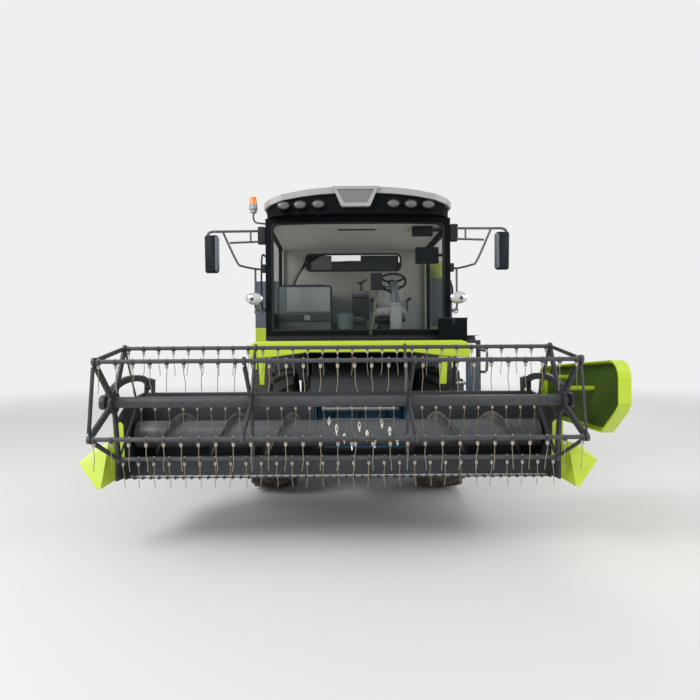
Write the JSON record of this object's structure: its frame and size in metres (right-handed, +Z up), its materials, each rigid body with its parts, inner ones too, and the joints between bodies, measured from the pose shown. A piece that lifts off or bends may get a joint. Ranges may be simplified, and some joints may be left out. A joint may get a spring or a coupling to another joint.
{
  "type": "combine harvester",
  "caption": "Self-propelled combine harvester with a glazed cab and a raised grain header under a tined reel.",
  "frame": {"origin": "on the ground under the middle of the overall box, on the header's centre plane", "axes": "+X to the machine's left, -Y forwards to the reel, +Z up"},
  "size_m": [4.6, 7.7999, 3.72],
  "materials": {
    "charcoal_paint": "satin charcoal paint",
    "slate_paint": "satin blue-grey paint",
    "lime_paint": "gloss lime paint",
    "black_trim": "satin black trim",
    "roof_white": "off-white moulded panel",
    "tinted_glass": "lightly tinted safety glass",
    "tyre_rubber": "matte tyre rubber",
    "rim_paint": "off-white wheel paint",
    "bright_steel": "ground steel",
    "seat_fabric": "woven seat cloth",
    "amber_lens": "amber lens over a white base",
    "cast_engine": "cast iron block"
  },
  "bodies": {
    "machine": {"chassis_frame": "charcoal_paint", "front_axle": "charcoal_paint", "rear_axle": "charcoal_paint", "threshing_body": "slate_paint", "side_panel_L": "slate_paint", "side_panel_R": "slate_paint", "grain_tank": "slate_paint", "engine_block": "cast_engine", "engine_hood": "slate_paint", "straw_hood": "slate_paint", "straw_spreader": "charcoal_paint", "cab_floor": "black_trim", "cab_frame": "black_trim", "cab_roof": "roof_white", "roof_visor": "black_trim", "windshield": "tinted_glass", "side_window": "tinted_glass", "rear_window": "tinted_glass", "driver_seat": "seat_fabric", "steering_column": "black_trim", "side_console": "black_trim", "mirror_L": "black_trim", "mirror_R": "black_trim", "beacon": "amber_lens", "front_bumper": "lime_paint", "access_ladder": "charcoal_paint"},
    "header": {"feeder_house": "charcoal_paint", "header_frame": "charcoal_paint", "divider_L": "lime_paint", "divider_R": "lime_paint"},
    "knife": {"knife": "bright_steel"},
    "auger": {"auger": "slate_paint"},
    "reel_arms": {"reel_arm_L": "charcoal_paint", "reel_arm_R": "charcoal_paint", "reel_drive_cover": "lime_paint"},
    "reel": {"reel_rotor": "charcoal_paint"},
    "tine_bar_1": {"tine_bar_1": "charcoal_paint"},
    "tine_bar_2": {"tine_bar_2": "charcoal_paint"},
    "tine_bar_3": {"tine_bar_3": "charcoal_paint"},
    "tine_bar_4": {"tine_bar_4": "charcoal_paint"},
    "tine_bar_5": {"tine_bar_5": "charcoal_paint"},
    "front_wheel_L": {"front_rim_L": "rim_paint", "front_tyre_L": "tyre_rubber"},
    "rear_knuckle_L": {"rear_knuckle_L": "charcoal_paint"},
    "rear_wheel_L": {"rear_rim_L": "rim_paint", "rear_tyre_L": "tyre_rubber"},
    "lift_barrel_L": {"lift_barrel_L": "charcoal_paint"},
    "lift_rod_L": {"lift_rod_L": "bright_steel"},
    "tank_lid_L": {"tank_lid_L": "slate_paint"},
    "front_wheel_R": {"front_rim_R": "rim_paint", "front_tyre_R": "tyre_rubber"},
    "rear_knuckle_R": {"rear_knuckle_R": "charcoal_paint"},
    "rear_wheel_R": {"rear_rim_R": "rim_paint", "rear_tyre_R": "tyre_rubber"},
    "lift_barrel_R": {"lift_barrel_R": "charcoal_paint"},
    "lift_rod_R": {"lift_rod_R": "bright_steel"},
    "tank_lid_R": {"tank_lid_R": "slate_paint"},
    "cab_door": {"cab_door": "black_trim", "door_glass": "tinted_glass"},
    "unloader": {"unloader_tube": "lime_paint"}
  },
  "joints": [
    {"name": "front_wheel_L_spin", "type": "hinge", "parent": "machine", "child": "front_wheel_L", "pos_m": [1.34, -0.754, 0.81], "axis": [1, 0, 0], "continuous": true},
    {"name": "front_wheel_R_spin", "type": "hinge", "parent": "machine", "child": "front_wheel_R", "pos_m": [-0.84, -0.754, 0.81], "axis": [1, 0, 0], "continuous": true},
    {"name": "steer_L", "type": "hinge", "parent": "machine", "child": "rear_knuckle_L", "pos_m": [1.15, 2.9, 0.485], "axis": [0, 0, 1], "range_deg": [-35, 35]},
    {"name": "rear_wheel_L_spin", "type": "hinge", "parent": "rear_knuckle_L", "child": "rear_wheel_L", "pos_m": [1.4, 2.9, 0.485], "axis": [1, 0, 0], "continuous": true},
    {"name": "steer_R", "type": "hinge", "parent": "machine", "child": "rear_knuckle_R", "pos_m": [-0.65, 2.9, 0.485], "axis": [0, 0, 1], "range_deg": [-35, 35]},
    {"name": "rear_wheel_R_spin", "type": "hinge", "parent": "rear_knuckle_R", "child": "rear_wheel_R", "pos_m": [-0.9, 2.9, 0.485], "axis": [1, 0, 0], "continuous": true},
    {"name": "header_lift", "type": "hinge", "parent": "machine", "child": "header", "pos_m": [0.25, -0.5, 1.7], "axis": [-1, 0, 0], "range_deg": [-13, 8]},
    {"name": "reel_lift", "type": "hinge", "parent": "header", "child": "reel_arms", "pos_m": [0, -2.31, 1.5], "axis": [-1, 0, 0], "range_deg": [-3, 18]},
    {"name": "reel_spin", "type": "hinge", "parent": "reel_arms", "child": "reel", "pos_m": [0, -3.4, 1.412], "axis": [1, 0, 0], "continuous": true},
    {"name": "tine_bar_1_turn", "type": "hinge", "parent": "reel", "child": "tine_bar_1", "pos_m": [0, -3.7719, 1.77114], "axis": [1, 0, 0], "continuous": true},
    {"name": "tine_bar_2_turn", "type": "hinge", "parent": "reel", "child": "tine_bar_2", "pos_m": [0, -3.17336, 1.87668], "axis": [1, 0, 0], "continuous": true},
    {"name": "tine_bar_3_turn", "type": "hinge", "parent": "reel", "child": "tine_bar_3", "pos_m": [0, -2.88803, 1.34005], "axis": [1, 0, 0], "continuous": true},
    {"name": "tine_bar_4_turn", "type": "hinge", "parent": "reel", "child": "tine_bar_4", "pos_m": [0, -3.31022, 0.90285], "axis": [1, 0, 0], "continuous": true},
    {"name": "tine_bar_5_turn", "type": "hinge", "parent": "reel", "child": "tine_bar_5", "pos_m": [0, -3.85648, 1.16928], "axis": [1, 0, 0], "continuous": true},
    {"name": "auger_spin", "type": "hinge", "parent": "header", "child": "auger", "pos_m": [0, -2.615, 1.012], "axis": [1, 0, 0], "continuous": true},
    {"name": "knife_slide", "type": "slide", "parent": "header", "child": "knife", "axis": [1, 0, 0], "range_m": [-0.035, 0.035]},
    {"name": "lift_barrel_L_hinge", "type": "hinge", "parent": "machine", "child": "lift_barrel_L", "pos_m": [0.65, -0.92, 0.6], "axis": [-1, 0, 0], "range_deg": [-18, 11]},
    {"name": "lift_rod_L_slide", "type": "slide", "parent": "lift_barrel_L", "child": "lift_rod_L", "axis": [0, -0.9869, 0.1611], "range_m": [-0.256, 0.158]},
    {"name": "lift_barrel_R_hinge", "type": "hinge", "parent": "machine", "child": "lift_barrel_R", "pos_m": [-0.15, -0.92, 0.6], "axis": [-1, 0, 0], "range_deg": [-18, 11]},
    {"name": "lift_rod_R_slide", "type": "slide", "parent": "lift_barrel_R", "child": "lift_rod_R", "axis": [0, -0.9869, 0.1611], "range_m": [-0.256, 0.158]},
    {"name": "cab_door_hinge", "type": "hinge", "parent": "machine", "child": "cab_door", "pos_m": [1.35, -0.255, 2.685], "axis": [0, 0, 1], "range_deg": [0, 80]},
    {"name": "tank_lid_L_hinge", "type": "hinge", "parent": "machine", "child": "tank_lid_L", "pos_m": [1.35, 0.71, 3.1203], "axis": [0, 1, 0], "range_deg": [0, 100]},
    {"name": "tank_lid_R_hinge", "type": "hinge", "parent": "machine", "child": "tank_lid_R", "pos_m": [-0.85, 0.71, 3.1203], "axis": [0, -1, 0], "range_deg": [0, 100]},
    {"name": "unloader_swing", "type": "hinge", "parent": "machine", "child": "unloader", "pos_m": [1.55, 0.22, 3.16], "axis": [0, 0, -1], "range_deg": [0, 95]}
  ],
  "couplings": [
    {"joint": "steer_R", "follows": "steer_L", "ratio": 1},
    {"joint": "tine_bar_1_turn", "follows": "reel_spin", "ratio": -1},
    {"joint": "tine_bar_2_turn", "follows": "reel_spin", "ratio": -1},
    {"joint": "tine_bar_3_turn", "follows": "reel_spin", "ratio": -1},
    {"joint": "tine_bar_4_turn", "follows": "reel_spin", "ratio": -1},
    {"joint": "tine_bar_5_turn", "follows": "reel_spin", "ratio": -1},
    {"joint": "lift_barrel_L_hinge", "follows": "header_lift", "ratio": 1.35},
    {"joint": "lift_rod_L_slide", "follows": "header_lift", "m_per_rad": 1.12},
    {"joint": "lift_barrel_R_hinge", "follows": "header_lift", "ratio": 1.35},
    {"joint": "lift_rod_R_slide", "follows": "header_lift", "m_per_rad": 1.12}
  ]
}
